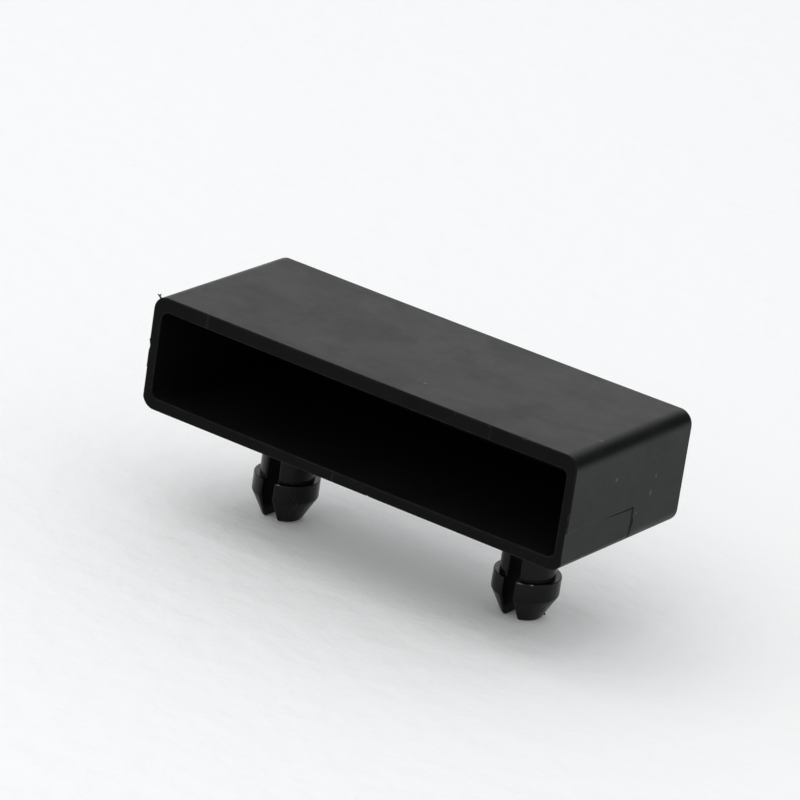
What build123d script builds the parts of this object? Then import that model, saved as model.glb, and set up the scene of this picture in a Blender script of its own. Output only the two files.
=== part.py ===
"""End cap for the end of a sprung bed slat, moulded in one piece.

A shallow rectangular pocket takes the end of the slat. Two split snap pins
under it clip into a pair of holes in the bed rail.

X runs along the pocket's width, Y from the open mouth to the closed back, and
Z up. The origin is on the underside, half way between the two pins.
"""

from build123d import *
import os

os.makedirs("parts", exist_ok=True)

# Driving dimensions, millimetres and degrees
slat_width = 53.0
slat_thickness = 8.0
slat_side_play = 1.0
slat_crown_room = 2.3
side_wall = 1.2
top_wall = 1.75
floor_wall = 1.45
back_wall = 1.5
cap_depth = 23.3
long_edge_radius = 1.7
back_edge_radius = 0.35
mouth_edge_radius = 0.12
top_sag = 0.1
top_draft = 0.38

pocket_edge_radius = 0.9
pocket_floor_radius = 0.5
pocket_sag = 0.12
pocket_draft = 0.4

pin_spacing = 33.4
pin_to_mouth = 13.5
neck_radius = 3.2
neck_length = 7.55
barb_radius = 3.85
barb_length = 2.15
barb_edge_radius = 0.12
barb_foot_radius = 0.3
nose_radius = 2.3
nose_length = 2.9
nose_edge_radius = 0.4
pin_root_radius = 0.4
pin_root_overlap = 0.6
split_width = 1.5
split_root = -1.2
split_edge_radius = 0.25

# Sizes that follow from them
pocket_width = slat_width + 2 * slat_side_play
pocket_height = slat_thickness + slat_crown_room
pocket_depth = cap_depth - back_wall
cap_width = pocket_width + 2 * side_wall
cap_height = floor_wall + pocket_height + top_wall
pin_length = neck_length + barb_length + nose_length
mouth_plane = Plane.XZ.offset(pin_to_mouth)


# One snap pin: a neck, a barb with a flat ledge, and a tapered nose
with BuildPart() as snap_pin:
    with BuildSketch(Plane.XZ) as pin_profile:
        with BuildLine():
            Polyline(
                (0, pin_root_overlap),
                (neck_radius, pin_root_overlap),
                (neck_radius, -neck_length),
                (barb_radius, -neck_length),
                (barb_radius, -neck_length - barb_length),
                (nose_radius, -pin_length),
                (0, -pin_length),
                close=True,
            )
        make_face()
        barb_edge = pin_profile.vertices().group_by(Axis.X)[-1].sort_by(Axis.Y)[-1]
        fillet(barb_edge, barb_edge_radius)
        barb_foot = pin_profile.vertices().group_by(Axis.X)[-1].sort_by(Axis.Y)[0]
        fillet(barb_foot, barb_foot_radius)
        nose_edge = pin_profile.vertices().group_by(Axis.Y)[0].sort_by(Axis.X)[-1]
        fillet(nose_edge, nose_edge_radius)
    revolve(axis=Axis.Z)

    # The split runs from front to back, with a round root just under the cap,
    # so that the two legs can spring together
    with BuildSketch(Plane.XZ):
        with Locations((0, split_root - split_width / 2)):
            Circle(split_width / 2)
            Rectangle(split_width, pin_length, align=(Align.CENTER, Align.MAX))
    extrude(amount=barb_radius, both=True, mode=Mode.SUBTRACT)
    split_walls = snap_pin.faces().filter_by(Axis.X)
    fillet(split_walls.edges().sort_by(Axis.Z)[:-2], split_edge_radius)


# The core that leaves the pocket, drafted towards its end
with BuildPart() as slat_core:
    low = floor_wall
    high = floor_wall + pocket_height
    half_width = pocket_width / 2
    with BuildSketch(mouth_plane):
        with BuildLine():
            ThreePointArc((-half_width, low), (0, low - pocket_sag), (half_width, low))
            Line((half_width, low), (half_width, high))
            ThreePointArc((half_width, high), (0, high - pocket_sag), (-half_width, high))
            Line((-half_width, high), (-half_width, low))
        make_face()
    extrude(amount=-pocket_depth)
    core_ends = slat_core.faces().filter_by(Axis.Y)
    core_walls = slat_core.faces() - core_ends
    draft(core_walls, neutral_plane=mouth_plane, angle=-pocket_draft)
    fillet(slat_core.edges() - slat_core.faces().filter_by(Axis.Y).edges(), pocket_edge_radius)
    fillet(slat_core.faces().sort_by(Axis.Y)[-1].edges(), pocket_floor_radius)


with BuildPart() as end_cap:
    # Outer body, its top wall sunk a little between the long edges and drafted
    # towards the back
    half_width = cap_width / 2
    with BuildSketch(mouth_plane):
        with BuildLine():
            Polyline((-half_width, cap_height), (-half_width, 0), (half_width, 0), (half_width, cap_height))
            ThreePointArc((half_width, cap_height), (0, cap_height - top_sag), (-half_width, cap_height))
        make_face()
    extrude(amount=-cap_depth)
    draft(end_cap.faces().sort_by(Axis.Z)[-1], neutral_plane=mouth_plane, angle=-top_draft)
    fillet(end_cap.edges() - end_cap.faces().filter_by(Axis.Y).edges(), long_edge_radius)
    fillet(end_cap.faces().sort_by(Axis.Y)[-1].edges(), back_edge_radius)

    add(slat_core.part, mode=Mode.SUBTRACT)
    fillet(end_cap.faces().sort_by(Axis.Y)[0].edges(), mouth_edge_radius)

    with GridLocations(pin_spacing, 0, 2, 1):
        add(snap_pin.part)
    seat = end_cap.faces().filter_by(Axis.Z).sort_by(SortBy.AREA)[-1]
    fillet(seat.edges().filter_by(GeomType.CIRCLE), pin_root_radius)

end_cap.part.label = "end_cap"
export_step(end_cap.part, "parts/end_cap.step")
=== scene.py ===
"""Finish for a bed slat end cap, moulded in black plastic as one piece with two split snap pins.

The moulded form comes from the frame. What the mould and handling left on it is added here:
the witness steps of the mould's side blocks, nicks in the rim, thin flash, and the finish,
with painted shade in the rim's and the pocket's colours and painted highlights on the pins' barbs.
Sizes in the modelling part are millimetres, and the finished mesh is metres.
"""

import math

import bmesh
import bpy
from mathutils import Matrix, Quaternion, Vector


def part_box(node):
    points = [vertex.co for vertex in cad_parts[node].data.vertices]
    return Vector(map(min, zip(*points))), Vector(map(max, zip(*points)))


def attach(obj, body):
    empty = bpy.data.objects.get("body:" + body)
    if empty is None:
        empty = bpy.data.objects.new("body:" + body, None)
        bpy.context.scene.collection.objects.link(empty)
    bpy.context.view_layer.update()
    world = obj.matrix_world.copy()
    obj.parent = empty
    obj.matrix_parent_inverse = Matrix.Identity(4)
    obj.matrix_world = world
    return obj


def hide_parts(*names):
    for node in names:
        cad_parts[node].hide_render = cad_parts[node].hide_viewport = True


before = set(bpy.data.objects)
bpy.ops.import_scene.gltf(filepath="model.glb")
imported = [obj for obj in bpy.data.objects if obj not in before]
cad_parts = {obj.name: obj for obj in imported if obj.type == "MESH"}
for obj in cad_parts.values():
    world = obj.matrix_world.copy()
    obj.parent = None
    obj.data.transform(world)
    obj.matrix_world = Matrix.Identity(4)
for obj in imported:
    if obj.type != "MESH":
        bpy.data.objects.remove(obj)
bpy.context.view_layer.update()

MM = 0.001

# Key places on the moulding, millimetres in the frame's axes
low_corner, high_corner = (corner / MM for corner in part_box("end_cap"))
mouth_y = low_corner.y
back_y = high_corner.y
side_x = high_corner.x
top_z = high_corner.z
tip_z = low_corner.z
wall = 1.2
long_edge_radius = 1.7
pin_x = 16.7
barb_ledge_z = -7.55

# Witness of the mould's side blocks, which part in the plane of the pins
parting_y = -0.2
block_height = 4.4
block_rise = 0.35
block_step_mouth = 0.05
block_step_parting = 0.09

# The upright groove at the parting, which opens out and bends back part way up
groove_radius = 0.13
groove_overrun = 0.03
groove_wander = 0.015
groove_wander_per_mm = 7
opening_z = 2.6
opening_reach = 0.55
opening_radius = 0.14
opening_shift = 0.16

# The groove along the block's top, which fades out towards the mouth
top_groove_radius = 0.1
top_groove_widening = 0.08
top_groove_fade = 0.7

# Marks across the rim: x, and the heights between which each one runs
RIM_MARKS = [(-21.3, 11.4, 13.6), (17.2, 11.4, 13.6), (-2.0, -0.3, 1.6)]
rim_mark_y = mouth_y - 0.03
rim_mark_lean = 0.04
rim_mark_radii = (0.09, 0.1)

# The pit at the foot of the parting: centre, half size and turn
PARTING_PIT = ((side_x - 0.62, parting_y, 0.42), (0.24, 0.16, 0.24), (0, 40, 0))

# Nicks round the rim: centre and half size
RIM_NICKS = [
    ((side_x + 0.02, mouth_y + 0.02, 6.6), (0.2, 0.2, 0.5)),
    ((side_x + 0.02, mouth_y + 0.02, 5.2), (0.13, 0.16, 0.3)),
    ((-side_x - 0.03, mouth_y, 7.2), (0.2, 0.24, 0.5)),
    ((2.85, mouth_y + 0.03, -0.03), (0.3, 0.2, 0.16)),
    ((21.6, mouth_y + 0.02, top_z + 0.05), (0.5, 0.25, 0.2)),
    ((17.0, mouth_y, top_z - 0.1), (0.22, 0.14, 0.2)),
    ((9.4, mouth_y, 11.65), (0.9, 0.1, 0.1)),
    ((14.6, mouth_y, 11.68), (0.7, 0.12, 0.12)),
]

# Slivers of flash on the rim's sides, and the nib on a barb's ledge: centre and half size
RIM_SLIVERS = [
    ((side_x - 0.06, mouth_y + 0.1, 7.25), (0.12, 0.12, 0.18)),
    ((-side_x + 0.05, mouth_y + 0.1, 7.95), (0.13, 0.12, 0.16)),
]
LEDGE_NIB = ((pin_x + 0.95, -3.35, barb_ledge_z + 0.06), (0.18, 0.14, 0.13))

# Planes that slice long faces, so that shading runs evenly over them
SLICES = {
    "X": [-27.3, *range(-26, 27, 2), 27.3],
    "Y": [mouth_y + 0.35, *range(-12, 9, 2), parting_y - 0.5, parting_y + 0.5],
    "Z": [1.9, 3.4, block_height + 0.6, 6.5, 8.5, 10.5],
}

# Points closer than this are one point, and edges sharper than this angle stay sharp
merge_distance = 0.0005
sharp_angle_deg = 28
flat_weight = 90

# Where the mould's finishes meet; the rim's and the pocket's finishes also carry painted shade
pins_below_z = -0.01
rim_before_y = mouth_y + 0.09
pocket_half_width = side_x - wall + 0.02
pocket_low_z = 1.25
pocket_high_z = top_z - 1.7
pocket_front_y = mouth_y + 0.06
pocket_back_y = back_y - 1


# ---------------------------------------------------------------- modelling


def add_chip(bm, place, size, turn_deg=(0, 0, 0)):
    """A small rounded lump, for a nick or a nib."""
    turn = Matrix.Identity(4)
    for axis, angle in zip("XYZ", turn_deg):
        turn = turn @ Matrix.Rotation(math.radians(angle), 4, axis)
    matrix = Matrix.Translation(place) @ turn @ Matrix.Diagonal((*size, 1))
    bmesh.ops.create_icosphere(bm, subdivisions=2, radius=1, matrix=matrix)


def add_strand(bm, stations, sides=8):
    """A closed strand through (point, radius) stations, for a groove or a hair of flash."""
    points = [Vector(point) for point, radius in stations]
    rings = []
    for index, (point, radius) in enumerate(stations):
        ahead = points[min(index + 1, len(points) - 1)] - points[max(index - 1, 0)]
        turn = ahead.to_track_quat("Z", "Y").to_matrix().to_4x4()
        ring = bmesh.ops.create_circle(
            bm, segments=sides, radius=radius, matrix=Matrix.Translation(point) @ turn
        )["verts"]
        rings.append([edge for edge in bm.edges if edge.verts[0] in ring and edge.verts[1] in ring])
    for first, second in zip(rings, rings[1:]):
        bmesh.ops.bridge_loops(bm, edges=first + second)
    for end in (rings[0], rings[-1]):
        bmesh.ops.edgeloop_fill(bm, edges=end)


def side_outline(side, height):
    """A point of the cap's outer section, on the side wall or round its lower long edge."""
    if height >= long_edge_radius:
        return Vector((side * side_x, 0, height))
    drop = long_edge_radius - height
    inset = long_edge_radius - math.sqrt(long_edge_radius**2 - drop**2)
    return Vector((side * (side_x - inset), 0, height))


def add_parting_groove(bm, side):
    """The upright groove where two mould blocks met, opened out and bent back part way up."""
    stations = []
    count = 30
    for index in range(count):
        height = block_height * (1 - index / (count - 1)) + groove_overrun
        opened = math.exp(-(((height - opening_z) / opening_reach) ** 2))
        wander = groove_wander * math.sin(groove_wander_per_mm * height)
        radius = groove_radius + opening_radius * opened + wander
        point = side_outline(side, height) + Vector((0, parting_y + opening_shift * opened, 0))
        stations.append((point, radius))
    add_strand(bm, stations)


def add_block_top_groove(bm, side):
    """The groove along the mould block's top, fading out towards the mouth."""
    stations = []
    count = 16
    for index in range(count):
        share = index / (count - 1)
        widened = top_groove_radius + top_groove_widening * (1 - share)
        radius = widened * (1 - top_groove_fade * share**4)
        y = parting_y + share * (mouth_y - parting_y)
        stations.append(((side * side_x, y, block_height + block_rise * share), radius))
    add_strand(bm, stations)


def cut_block_steps():
    """What the mould's side blocks left lower than the wall round them, deepest at the parting."""
    bm = bmesh.new()
    length = parting_y - mouth_y
    slope = math.atan((block_step_parting - block_step_mouth) / length)
    rise = math.atan(block_rise / length)
    clear = 1
    size = Vector((clear, length + clear, block_height + clear))
    for side in (1, -1):
        corner = Vector((side * (side_x - block_step_parting), parting_y, block_height))
        turn = Matrix.Rotation(-side * slope, 4, "Z") @ Matrix.Rotation(-rise, 4, "X")
        middle = Matrix.Translation((side * size.x / 2, -size.y / 2, -size.z / 2))
        matrix = Matrix.Translation(corner) @ turn @ middle @ Matrix.Diagonal((*size, 1))
        bmesh.ops.create_cube(bm, size=1, matrix=matrix)
    return bm


def cut_grooves():
    """The parting grooves, the marks across the rim and the nicks along its edges."""
    bm = bmesh.new()
    for side in (1, -1):
        add_parting_groove(bm, side)
        add_block_top_groove(bm, side)
    add_chip(bm, *PARTING_PIT)
    start_radius, end_radius = rim_mark_radii
    for x, low, high in RIM_MARKS:
        start = (x, rim_mark_y, low)
        end = (x + rim_mark_lean, rim_mark_y, high)
        add_strand(bm, [(start, start_radius), (end, end_radius)])
    for place, size in RIM_NICKS:
        add_chip(bm, place, size)
    return bm


def flash():
    """Everything that stands proud: hairs and slivers of flash."""
    bm = bmesh.new()
    root = Vector((-side_x + 0.85, mouth_y + 0.12, top_z - 0.45))
    fork = root + Vector((-0.36, -0.03, 0.34))
    below_fork = fork + Vector((0.05, 0, -0.06))
    add_strand(bm, [(root, 0.11), (below_fork, 0.1), (fork, 0.09)])
    prongs = [((-0.14, 0, 0.07), (-0.27, 0, 0.11)), ((0.1, 0, 0.12), (0.18, 0, 0.25))]
    for middle, end in prongs:
        add_strand(bm, [(fork, 0.09), (fork + Vector(middle), 0.08), (fork + Vector(end), 0.045)])
    for place, size in RIM_SLIVERS:
        add_chip(bm, place, size)
    nose = Vector((pin_x, 0, tip_z))
    sliver = [((1.6, 1.0, 0.45), 0.22), ((2.1, 1.15, 0.35), 0.17), ((2.4, 1.25, 0.3), 0.07)]
    add_strand(bm, [(nose + Vector(offset), radius) for offset, radius in sliver])
    add_chip(bm, *LEDGE_NIB)
    return bm


def as_object(name, bm):
    """Puts a finished bmesh into the scene."""
    mesh = bpy.data.meshes.new(name)
    bm.to_mesh(mesh)
    bm.free()
    made = bpy.data.objects.new(name, mesh)
    bpy.context.scene.collection.objects.link(made)
    return made


def as_tool(name, bm):
    """Puts closed shapes into the scene with their faces outwards, to cut or join with."""
    bmesh.ops.recalc_face_normals(bm, faces=bm.faces)
    return as_object(name, bm)


def slice_across(bm, axis, places):
    """Cuts the faces along planes across one axis, so that no face is long and thin."""
    normal = Vector([float(letter == axis) for letter in "XYZ"])
    for place in places:
        everything = bm.verts[:] + bm.edges[:] + bm.faces[:]
        bmesh.ops.bisect_plane(
            bm, geom=everything, dist=merge_distance, plane_co=normal * place, plane_no=normal
        )


def plain_form():
    """The moulding as the frame gives it, as one closed mesh in millimetres."""
    bm = bmesh.new()
    bm.from_mesh(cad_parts["end_cap"].data)
    bmesh.ops.transform(bm, matrix=Matrix.Scale(1 / MM, 4), verts=bm.verts)
    bmesh.ops.remove_doubles(bm, verts=bm.verts, dist=merge_distance)
    for axis, places in SLICES.items():
        slice_across(bm, axis, places)
    made = as_object("moulded_cap", bm)
    if "custom_normal" in made.data.attributes:
        made.data.attributes.remove(made.data.attributes["custom_normal"])
    return made


def combine(body, tools, operation):
    """Cuts tools out of body, or joins them to it, for good."""
    boolean = body.modifiers.new(operation.lower(), "BOOLEAN")
    boolean.operation = operation
    boolean.solver = "EXACT"
    boolean.use_self = True
    boolean.object = tools
    bpy.context.view_layer.update()
    shaped = body.evaluated_get(bpy.context.evaluated_depsgraph_get())
    mesh = bpy.data.meshes.new_from_object(shaped)
    body.modifiers.clear()
    body.data = mesh
    bpy.data.objects.remove(tools)


SHELL, PINS, POCKET, RIM = range(4)


def finish_of(face):
    """Which of the mould's finishes a face has, by where it lies. The rim's and the pocket's finishes also
    carry painted shade.
    """
    place = face.calc_center_median()
    if place.z < pins_below_z:
        return PINS
    if place.y < rim_before_y:
        return RIM
    in_width = abs(place.x) < pocket_half_width
    in_height = pocket_low_z < place.z < pocket_high_z
    if in_width and in_height and pocket_front_y < place.y < pocket_back_y:
        return POCKET
    return SHELL


def build_cap():
    """The whole moulding with its marks, in metres, ready for its materials."""
    cap = plain_form()
    combine(cap, as_tool("block_steps", cut_block_steps()), "DIFFERENCE")
    combine(cap, as_tool("grooves", cut_grooves()), "DIFFERENCE")
    combine(cap, as_tool("flash", flash()), "UNION")
    bm = bmesh.new()
    bm.from_mesh(cap.data)
    bmesh.ops.remove_doubles(bm, verts=bm.verts, dist=merge_distance)
    bmesh.ops.dissolve_degenerate(bm, edges=bm.edges, dist=merge_distance)
    for face in bm.faces:
        face.material_index = finish_of(face)
        face.smooth = True
    bmesh.ops.transform(bm, matrix=Matrix.Scale(MM, 4), verts=bm.verts)
    cap.data.materials.clear()
    bm.to_mesh(cap.data)
    bm.free()
    cap.data.set_sharp_from_angle(angle=math.radians(sharp_angle_deg))
    weighting = cap.modifiers.new("flat faces stay flat", "WEIGHTED_NORMAL")
    weighting.keep_sharp = True
    weighting.weight = flat_weight
    return cap


# ---------------------------------------------------------------- materials


def add_node(tree, kind, values=None, **settings):
    """A node with its settings, and each input set to a value or joined to another socket."""
    made = tree.nodes.new(kind)
    for name, value in settings.items():
        setattr(made, name, value)
    for socket, value in (values or {}).items():
        if isinstance(value, bpy.types.NodeSocket):
            tree.links.new(value, made.inputs[socket])
        else:
            made.inputs[socket].default_value = value
    return made


def add_noise(tree, place, scale, detail):
    """A noise value at a place."""
    values = {"Vector": place, "Scale": scale, "Detail": detail}
    return add_node(tree, "ShaderNodeTexNoise", values).outputs["Fac"]


def math_node(tree, operation, *values, clamp=False):
    """The result of one sum."""
    made = add_node(tree, "ShaderNodeMath", dict(enumerate(values)), operation=operation, use_clamp=clamp)
    return made.outputs[0]


def ramp(tree, value, start, end, low=0.0, high=1.0):
    """A value carried smoothly from one range into another."""
    made = add_node(
        tree,
        "ShaderNodeMapRange",
        {"Value": value, "From Min": start, "From Max": end, "To Min": low, "To Max": high},
        interpolation_type="SMOOTHSTEP",
    )
    return made.outputs["Result"]


def start_group(name, inputs, outputs):
    """A shader node group with named sockets, as its tree, its inner inputs and its inner outputs."""
    tree = bpy.data.node_groups.new(name, "ShaderNodeTree")
    kinds = {float: "NodeSocketFloat", tuple: "NodeSocketVector"}
    for label, value in inputs.items():
        socket = tree.interface.new_socket(label, in_out="INPUT", socket_type=kinds[type(value)])
        socket.default_value = value
    for label in outputs:
        tree.interface.new_socket(label, in_out="OUTPUT", socket_type="NodeSocketFloat")
    entry = tree.nodes.new("NodeGroupInput")
    leave = tree.nodes.new("NodeGroupOutput")
    return tree, entry.outputs, leave.inputs


def place_group(tree, group, **values):
    """A group set in a material with its own values."""
    labels = {label.replace("_", " ").capitalize(): value for label, value in values.items()}
    return add_node(tree, "ShaderNodeGroup", labels, node_tree=group).outputs


def make_grain():
    """The fine texture of the mould's surface: small soft pits with finer ones between them."""
    tree, given, out = start_group("mould_grain", {"Place": (0, 0, 0), "Pit size": 0.0003}, ["Height"])
    scale = math_node(tree, "DIVIDE", 1.0, given["Pit size"])
    coarse = add_noise(tree, given["Place"], scale, 2.0)
    fine_scale = math_node(tree, "MULTIPLY", scale, 3.1)
    fine = add_noise(tree, given["Place"], fine_scale, 1.0)
    fine_share = math_node(tree, "MULTIPLY", fine, 0.35)
    tree.links.new(math_node(tree, "ADD", coarse, fine_share), out["Height"])
    return tree


def make_clouds():
    """Broad soft patches where the plastic cooled against the mould faster or slower."""
    tree, given, out = start_group("cooling_clouds", {"Place": (0, 0, 0), "Patch size": 0.008}, ["Mask"])
    scale = math_node(tree, "DIVIDE", 1.0, given["Patch size"])
    cloud = add_node(
        tree,
        "ShaderNodeTexNoise",
        {"Vector": given["Place"], "Scale": scale, "Detail": 4.0, "Roughness": 0.6, "Distortion": 0.4},
    )
    tree.links.new(ramp(tree, cloud.outputs["Fac"], 0.3, 0.7), out["Mask"])
    return tree


def make_edge_rub():
    """Rubbed edges: high where the surface turns within a small radius, broken up by noise."""
    tree, given, out = start_group(
        "edge_rub", {"Place": (0, 0, 0), "Reach": 0.0003, "Break size": 0.002}, ["Mask"]
    )
    rounded = add_node(tree, "ShaderNodeBevel", {"Radius": given["Reach"]}, samples=4)
    true_normal = add_node(tree, "ShaderNodeNewGeometry").outputs["Normal"]
    closeness = add_node(
        tree, "ShaderNodeVectorMath", {0: rounded.outputs["Normal"], 1: true_normal}, operation="DOT_PRODUCT"
    )
    turned = math_node(tree, "SUBTRACT", 1.0, closeness.outputs["Value"], clamp=True)
    scale = math_node(tree, "DIVIDE", 1.0, given["Break size"])
    breaks = add_noise(tree, given["Place"], scale, 3.0)
    broken = ramp(tree, breaks, 0.35, 0.65, 0.35, 1.0)
    edge = ramp(tree, turned, 0.01, 0.12)
    tree.links.new(math_node(tree, "MULTIPLY", edge, broken), out["Mask"])
    return tree


def make_dust():
    """Sparse pale specks, one at most in each cell, of uneven size."""
    tree, given, out = start_group(
        "dust_specks", {"Place": (0, 0, 0), "Spacing": 0.002, "Share": 0.2, "Speck size": 0.05}, ["Mask"]
    )
    scale = math_node(tree, "DIVIDE", 1.0, given["Spacing"])
    cells = add_node(tree, "ShaderNodeTexVoronoi", {"Vector": given["Place"], "Scale": scale})
    parts = add_node(tree, "ShaderNodeSeparateColor", {"Color": cells.outputs["Color"]}).outputs
    chosen = math_node(tree, "LESS_THAN", parts[0], given["Share"])
    reach = math_node(tree, "MULTIPLY", parts[1], given["Speck size"])
    inner = math_node(tree, "MULTIPLY", reach, 0.4)
    spot = ramp(tree, cells.outputs["Distance"], reach, inner)
    tree.links.new(math_node(tree, "MULTIPLY", spot, chosen), out["Mask"])
    return tree


def make_hairlines():
    """Fine scratches: thin stretched lines, kept to a few patches."""
    tree, given, out = start_group(
        "hairlines", {"Place": (0, 0, 0), "Direction": (0, 0, 0), "Line size": 0.0002}, ["Mask"]
    )
    stretch = (1, 0.02, 1)
    turned = add_node(
        tree,
        "ShaderNodeMapping",
        {"Vector": given["Place"], "Rotation": given["Direction"], "Scale": stretch},
    )
    scale = math_node(tree, "DIVIDE", 1.0, given["Line size"])
    lines = add_noise(tree, turned.outputs[0], scale, 1.0)
    thin = ramp(tree, lines, 0.68, 0.74)
    patches_per_metre = 140.0
    patches = add_noise(tree, given["Place"], patches_per_metre, 2.0)
    patch = ramp(tree, patches, 0.52, 0.62)
    tree.links.new(math_node(tree, "MULTIPLY", thin, patch), out["Mask"])
    return tree


def make_scuff_and_highlight():
    """One small spot at a place, long in one direction and ragged at its edge. On the shell it is a rub
    mark; on the pins it is a painted highlight.
    """
    tree, given, out = start_group(
        "scuff_and_highlight", {"Place": (0, 0, 0), "Centre": (0, 0, 0), "Half size": (0.0002, 0.0002, 0.0002)}, ["Mask"]
    )
    away = add_node(
        tree, "ShaderNodeVectorMath", {0: given["Place"], 1: given["Centre"]}, operation="SUBTRACT"
    )
    scaled = add_node(
        tree, "ShaderNodeVectorMath", {0: away.outputs[0], 1: given["Half size"]}, operation="DIVIDE"
    )
    distance = add_node(tree, "ShaderNodeVectorMath", {0: scaled.outputs[0]}, operation="LENGTH")
    notches_per_metre = 6000.0
    ragged = add_noise(tree, given["Place"], notches_per_metre, 2.0)
    uneven = math_node(tree, "ADD", distance.outputs["Value"], ragged)
    tree.links.new(ramp(tree, uneven, 1.5, 0.7), out["Mask"])
    return tree


GRAIN = make_grain()
CLOUDS = make_clouds()
EDGE_RUB = make_edge_rub()
DUST = make_dust()
HAIRLINES = make_hairlines()
SCUFF_AND_HIGHLIGHT = make_scuff_and_highlight()

# Small rub marks on the shell, and painted highlights on the pins' barb ledges: centre and half size in
# millimetres
SHELL_SCUFFS = [
    ((27.2, -6.7, 13.35), (0.3, 0.35, 0.3)),
    ((26.0, -6.9, 13.35), (0.22, 0.22, 0.22)),
    ((5.5, -9.3, 13.35), (0.3, 0.3, 0.3)),
    ((-16.5, -9.0, 13.3), (0.25, 0.2, 0.2)),
    ((side_x, -4.8, 8.9), (0.3, 0.3, 0.32)),
    ((side_x, 3.6, 7.3), (0.3, 0.25, 0.22)),
    ((side_x, 3.0, 5.4), (0.3, 0.25, 0.55)),
    ((side_x, 0.6, 3.6), (0.3, 0.2, 0.25)),
]
# On the pins these spots are painted highlights: light patches where the barbs' ledge edges would catch the
# light
PIN_PAINTED_HIGHLIGHTS = [
    ((pin_x + 1.3, -3.6, -7.62), (0.55, 0.3, 0.08)),
    ((pin_x + 2.5, -2.9, -7.62), (0.35, 0.3, 0.07)),
    ((1.3 - pin_x, -3.6, -7.62), (0.3, 0.3, 0.09)),
]


def mix_colour(tree, mask, first, second):
    """One colour laid over another by a mask."""
    values = {"Factor": mask, "A": (*first, 1) if isinstance(first, tuple) else first, "B": (*second, 1)}
    made = tree.nodes.new("ShaderNodeMix")
    made.data_type = "RGBA"
    colour_inputs = {"Factor": made.inputs[0], "A": made.inputs[6], "B": made.inputs[7]}
    for label, socket in colour_inputs.items():
        if isinstance(values[label], bpy.types.NodeSocket):
            tree.links.new(values[label], socket)
        else:
            socket.default_value = values[label]
    return made.outputs[2]


# How strongly each mark shows in the colour
tint_strength = 0.5
dust_strength = 0.5
# The same strength serves the shell's scuffs and the pins' painted highlights
scuff_and_highlight_strength = 0.6

# How much each mark changes the roughness, and how deep the hairlines go against the grain
cloud_smoothing = 0.03
cloud_roughening = 0.04
spread_roughening = 0.03
rub_polish = 0.12
line_roughening = 0.15
line_depth = 0.6


def black_plastic(name, look):
    """Black moulded plastic. look gives the values in which one area of the mould differs. For the rim and
    the pocket these include painted shade: a darker colour and less gloss.
    """
    material = bpy.data.materials.new(name)
    material.use_nodes = True
    tree = material.node_tree
    shader = tree.nodes["Principled BSDF"]
    place = add_node(tree, "ShaderNodeTexCoord").outputs["Object"]

    grain = place_group(tree, GRAIN, place=place, pit_size=look["pit_size"])["Height"]
    clouds = place_group(tree, CLOUDS, place=place, patch_size=look["patch_size"])["Mask"]
    spread = place_group(tree, CLOUDS, place=place, patch_size=look["spread_size"])["Mask"]
    rub = place_group(
        tree, EDGE_RUB, place=place, reach=look["rub_reach"], break_size=look["rub_break_size"]
    )["Mask"]
    dust = place_group(
        tree,
        DUST,
        place=place,
        spacing=look["dust_spacing"],
        share=look["dust_share"],
        speck_size=look["speck_size"],
    )["Mask"]
    lines = place_group(
        tree, HAIRLINES, place=place, direction=look["line_direction"], line_size=look["line_size"]
    )["Mask"]

    colour = mix_colour(tree, clouds, look["colour"], look["cloud_colour"])
    tint = math_node(tree, "MULTIPLY", spread, tint_strength)
    colour = mix_colour(tree, tint, colour, look["tint_colour"])
    rub_share = math_node(tree, "MULTIPLY", rub, look["rub_strength"])
    colour = mix_colour(tree, rub_share, colour, look["rub_colour"])
    line_share = math_node(tree, "MULTIPLY", lines, look["line_strength"])
    colour = mix_colour(tree, line_share, colour, look["line_colour"])
    dust_share = math_node(tree, "MULTIPLY", dust, dust_strength)
    colour = mix_colour(tree, dust_share, colour, look["dust_colour"])

    smoothest = look["roughness"] - cloud_smoothing
    roughest = look["roughness"] + cloud_roughening
    roughness = ramp(tree, clouds, 0.0, 1.0, smoothest, roughest)
    spread_change = math_node(tree, "MULTIPLY", spread, spread_roughening)
    roughness = math_node(tree, "ADD", roughness, spread_change)
    rub_change = math_node(tree, "MULTIPLY", rub_share, rub_polish)
    roughness = math_node(tree, "SUBTRACT", roughness, rub_change)
    line_change = math_node(tree, "MULTIPLY", line_share, line_roughening)
    roughness = math_node(tree, "ADD", roughness, line_change)

    height = math_node(tree, "SUBTRACT", grain, math_node(tree, "MULTIPLY", line_share, line_depth))
    # Scuffs on the shell and painted highlights on the pins, laid into the colour and pressed into the
    # height
    for centre, half_size in look["scuffs_and_highlights"]:
        mark = place_group(
            tree, SCUFF_AND_HIGHLIGHT, place=place, centre=Vector(centre) * MM, half_size=Vector(half_size) * MM
        )["Mask"]
        scuff_and_highlight_share = math_node(tree, "MULTIPLY", mark, scuff_and_highlight_strength)
        colour = mix_colour(tree, scuff_and_highlight_share, colour, look["scuff_and_highlight_colour"])
        height = math_node(tree, "SUBTRACT", height, mark)

    bump = add_node(tree, "ShaderNodeBump", {"Height": height, "Distance": look["grain_depth"]})
    wave_height = add_node(
        tree, "ShaderNodeTexNoise", {"Vector": place, "Scale": 1 / look["wave_size"], "Detail": 1.0}
    )
    waves = add_node(
        tree,
        "ShaderNodeBump",
        {"Height": wave_height.outputs["Fac"], "Distance": look["wave_depth"], "Normal": bump.outputs[0]},
    )
    tree.links.new(colour, shader.inputs["Base Color"])
    tree.links.new(roughness, shader.inputs["Roughness"])
    tree.links.new(waves.outputs[0], shader.inputs["Normal"])
    shader.inputs["IOR"].default_value = 1.5
    shader.inputs["Specular IOR Level"].default_value = look["gloss_level"]
    return material


# The finer clouds in the tint and gloss, as a share of the broad patches' size
spread_to_patch = 0.17

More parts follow.
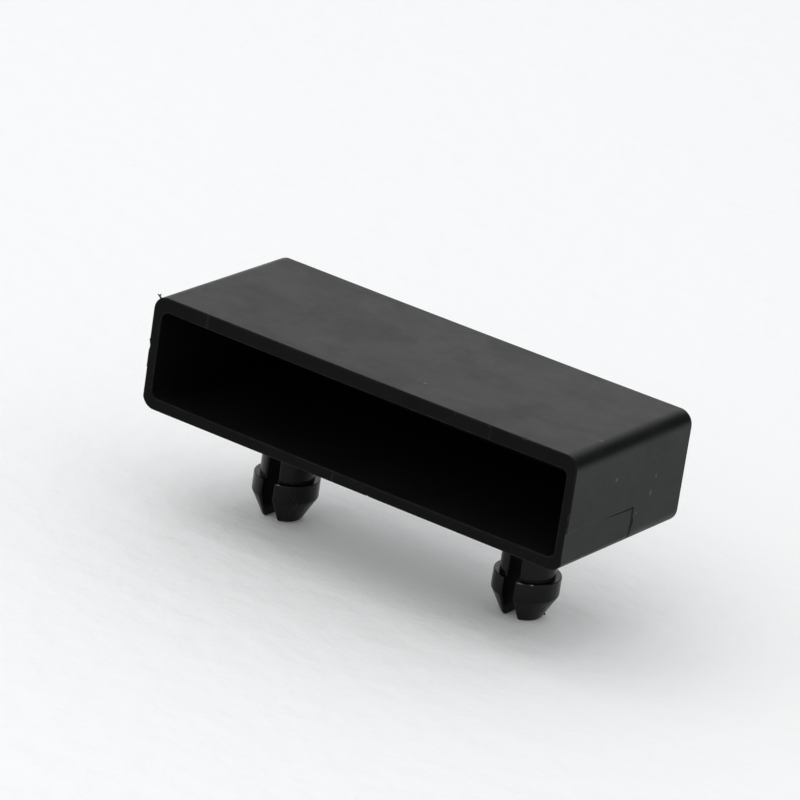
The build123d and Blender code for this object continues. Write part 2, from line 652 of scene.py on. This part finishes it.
# Lengths in metres
SHELL_LOOK = {
    "colour": (0.0062, 0.0066, 0.0068),
    "cloud_colour": (0.0084, 0.009, 0.009),
    "tint_colour": (0.0068, 0.0075, 0.008),
    "roughness": 0.38,
    "gloss_level": 0.2,
    "pit_size": 0.00028,
    "grain_depth": 0.000012,
    "patch_size": 0.009,
    "spread_size": 0.009 * spread_to_patch,
    "wave_size": 0.006,
    "wave_depth": 0.00002,
    "rub_reach": 0.00028,
    "rub_break_size": 0.0016,
    "rub_strength": 0.35,
    "rub_colour": (0.05, 0.051, 0.052),
    "line_direction": (0.3, 0.2, 0.9),
    "line_size": 0.00022,
    "line_strength": 0.5,
    "line_colour": (0.04, 0.041, 0.042),
    "dust_spacing": 0.0021,
    "dust_share": 0.22,
    "speck_size": 0.08,
    "dust_colour": (0.2, 0.2, 0.19),
    "scuffs_and_highlights": SHELL_SCUFFS,
    "scuff_and_highlight_colour": (0.11, 0.112, 0.108),
}
PIN_LOOK = SHELL_LOOK | {
    "colour": (0.0028, 0.003, 0.0032),
    "cloud_colour": (0.0044, 0.0046, 0.0048),
    "tint_colour": (0.0034, 0.0036, 0.004),
    "roughness": 0.19,
    "pit_size": 0.0004,
    "grain_depth": 0.00001,
    "patch_size": 0.003,
    "spread_size": 0.003 * spread_to_patch,
    "wave_size": 0.0022,
    "wave_depth": 0.00004,
    "rub_strength": 0.5,
    "dust_share": 0.04,
    "scuffs_and_highlights": PIN_PAINTED_HIGHLIGHTS,
    # The pins' spots are painted highlights, in a near white colour
    "scuff_and_highlight_colour": (0.42, 0.43, 0.44),
}
# The rim round the mouth, with painted shade: a darker colour and less gloss than the shell
RIM_PAINTED_SHADE_LOOK = SHELL_LOOK | {
    "colour": (0.0018, 0.0019, 0.002),
    "cloud_colour": (0.0034, 0.0036, 0.0036),
    "tint_colour": (0.0024, 0.0026, 0.0028),
    "roughness": 0.46,
    "gloss_level": 0.07,
    "patch_size": 0.004,
    "spread_size": 0.004 * spread_to_patch,
    "rub_strength": 0.5,
    "scuffs_and_highlights": [],
}
# The inside of the pocket, with painted shade: near black, darker and less glossy than the shell
POCKET_PAINTED_SHADE_LOOK = SHELL_LOOK | {
    "colour": (0.002, 0.002, 0.0021),
    "cloud_colour": (0.0026, 0.0026, 0.0027),
    "tint_colour": (0.0022, 0.0022, 0.0024),
    "roughness": 0.55,
    "gloss_level": 0.15,
    "rub_strength": 0.2,
    "dust_share": 0.03,
    "line_strength": 0.2,
    "scuffs_and_highlights": [],
}

# ---------------------------------------------------------------- the part

cap = build_cap()
# The rim and the pocket get painted shade as well as their finish: their colours are darker than the shell's
finishes = {"satin_shell": SHELL_LOOK, "glossy_pins": PIN_LOOK, "dull_pocket_painted_shade": POCKET_PAINTED_SHADE_LOOK, "rim": RIM_PAINTED_SHADE_LOOK}
for name, look in finishes.items():
    cap.data.materials.append(black_plastic(name, look))
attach(cap, "root")
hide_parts("end_cap")

# ---------------------------------------------------------------- the studio


def build_floor():
    """A wide pale sheet under the pin tips, with a faint leathery texture. It is clear from below."""
    floor_radius = 3000
    pale_low = (0.79, 0.79, 0.785)
    pale_high = (0.81, 0.81, 0.81)
    seen_colour = (0.98, 0.98, 0.98)
    creases_per_metre = 260.0
    crease_depth = 0.0004
    bm = bmesh.new()
    bmesh.ops.create_circle(bm, cap_ends=True, segments=64, radius=floor_radius)
    bmesh.ops.transform(bm, matrix=Matrix.Translation((0, 0, tip_z)), verts=bm.verts)
    bmesh.ops.transform(bm, matrix=Matrix.Scale(MM, 4), verts=bm.verts)
    bm.normal_update()
    for face in bm.faces:
        if face.normal.z < 0:
            face.normal_flip()
    floor = as_object("floor", bm)
    material = bpy.data.materials.new("pale_sheet")
    material.use_nodes = True
    tree = material.node_tree
    shader = tree.nodes["Principled BSDF"]
    place = add_node(tree, "ShaderNodeTexCoord").outputs["Object"]
    clouds = place_group(tree, CLOUDS, place=place, patch_size=0.05)["Mask"]
    pale = mix_colour(tree, clouds, pale_low, pale_high)
    seen = add_node(tree, "ShaderNodeLightPath").outputs["Is Camera Ray"]
    colour = mix_colour(tree, seen, pale, seen_colour)
    creases = add_noise(tree, place, creases_per_metre, 4.0)
    bump = add_node(tree, "ShaderNodeBump", {"Height": creases, "Distance": crease_depth})
    tree.links.new(colour, shader.inputs["Base Color"])
    tree.links.new(bump.outputs[0], shader.inputs["Normal"])
    shader.inputs["Roughness"].default_value = 0.7
    shader.inputs["Specular IOR Level"].default_value = 0.2
    underneath = add_node(tree, "ShaderNodeNewGeometry").outputs["Backfacing"]
    clear = add_node(tree, "ShaderNodeBsdfTransparent").outputs[0]
    surface = add_node(tree, "ShaderNodeMixShader", {0: underneath, 1: shader.outputs[0], 2: clear})
    tree.links.new(surface.outputs[0], tree.nodes["Material Output"].inputs["Surface"])
    floor.data.materials.append(material)


def build_world():
    """Even room light. What looks past the floor sees white, and so do reflections, apart from
    a black flag behind at the right that draws the long edge there as a dark band."""
    flag_direction = Vector((0.6, 0.78, 0.22)).normalized()
    flag_edge = 0.62
    flag_core = 0.9
    backdrop_strength = 0.95
    room_colour = (0.98, 0.99, 1, 1)
    room_strength = 0.84
    world = bpy.data.worlds.new("studio")
    world.use_nodes = True
    bpy.context.scene.world = world
    tree = world.node_tree
    tree.nodes.clear()
    rays = add_node(tree, "ShaderNodeLightPath").outputs
    seen = math_node(tree, "MAXIMUM", rays["Is Camera Ray"], rays["Is Glossy Ray"])
    seen = math_node(tree, "MAXIMUM", seen, rays["Is Transmission Ray"])
    room = add_node(tree, "ShaderNodeBackground", {"Color": room_colour, "Strength": room_strength})
    direction = add_node(tree, "ShaderNodeTexCoord").outputs["Generated"]
    flag = add_node(
        tree, "ShaderNodeVectorMath", {0: direction, 1: flag_direction}, operation="DOT_PRODUCT"
    ).outputs["Value"]
    flagged = ramp(tree, flag, flag_edge, flag_core, backdrop_strength, 0.0)
    strength = math_node(tree, "MAXIMUM", flagged, rays["Is Camera Ray"])
    backdrop = add_node(tree, "ShaderNodeBackground", {"Color": (1, 1, 1, 1), "Strength": strength})
    both = add_node(tree, "ShaderNodeMixShader", {0: seen, 1: room.outputs[0], 2: backdrop.outputs[0]})
    add_node(tree, "ShaderNodeOutputWorld", {"Surface": both.outputs[0]})


def add_softbox(name, direction, distance, size, power):
    """A square area lamp that looks at the part. Its distance and size are metres."""
    data = bpy.data.lights.new(name, "AREA")
    data.shape = "SQUARE"
    data.size = size
    data.energy = power
    lamp = bpy.data.objects.new(name, data)
    bpy.context.scene.collection.objects.link(lamp)
    away = Vector(direction).normalized()
    lamp.location = away * distance
    lamp.rotation_euler = away.to_track_quat("Z", "Y").to_euler()


def build_camera():
    """A long lens, from the front right and a little above, rolled slightly."""
    azimuth, elevation, roll = (math.radians(angle) for angle in (32.23, 21.08, 8.67))
    aim = Vector((-2.655, -0.957, 6.582)) * MM
    distance = 0.64262
    level = math.cos(elevation)
    back = Vector((math.sin(azimuth) * level, -math.cos(azimuth) * level, math.sin(elevation)))
    data = bpy.data.cameras.new("camera")
    data.sensor_width = 36
    data.lens = 259.35
    data.clip_start = 0.01
    data.clip_end = 100
    camera = bpy.data.objects.new("camera", data)
    bpy.context.scene.collection.objects.link(camera)
    camera.location = aim + back * distance
    camera.rotation_mode = "QUATERNION"
    camera.rotation_quaternion = (-back).to_track_quat("-Z", "Y") @ Quaternion((0, 0, 1), roll)
    bpy.context.scene.camera = camera


build_floor()
build_world()
add_softbox("window", direction=(-0.45, -0.75, 1.2), distance=1.3, size=1.5, power=4.5)
build_camera()
bpy.context.scene.view_settings.view_transform = "Standard"
